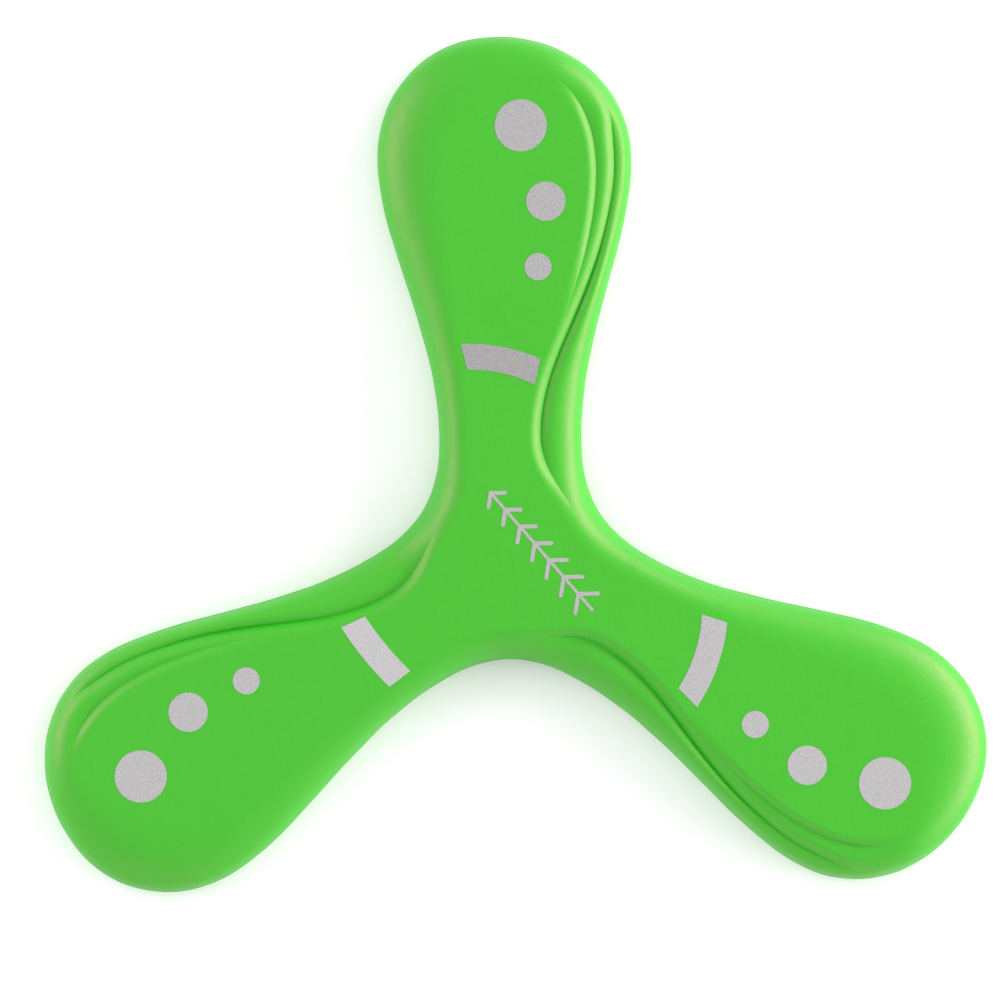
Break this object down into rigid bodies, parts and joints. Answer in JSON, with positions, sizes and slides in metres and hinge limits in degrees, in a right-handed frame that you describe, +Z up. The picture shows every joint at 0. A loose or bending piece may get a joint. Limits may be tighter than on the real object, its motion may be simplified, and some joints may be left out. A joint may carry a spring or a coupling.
{
  "type": "boomerang",
  "caption": "Flat soft foam boomerang with rounded blades at equal angles, a rolled leading shoulder and a stepped trailing side, thrown for play and caught in the hand.",
  "frame": {"origin": "centre of the hub on the flat resting face", "axes": "+Z up through the printed face, +Y along the first blade to its tip, +X completing the right-hand set; seen from +Z the blades are numbered clockwise"},
  "size_m": [0.2798, 0.2539, 0.0161],
  "materials": {
    "skin": "satin-matt bright green moulded polyurethane skin",
    "foam": "matt cream flexible foam",
    "ink": "silver-grey printed ink with a fine metallic speckle"
  },
  "bodies": {
    "root": {"upper_skin": "skin", "lower_skin": "skin", "foam_core": "foam", "large_dot_1": "ink", "medium_dot_1": "ink", "small_dot_1": "ink", "bar_1": "ink", "large_dot_2": "ink", "medium_dot_2": "ink", "small_dot_2": "ink", "bar_2": "ink", "large_dot_3": "ink", "medium_dot_3": "ink", "small_dot_3": "ink", "bar_3": "ink", "hub_motif": "ink"}
  },
  "joints": []
}
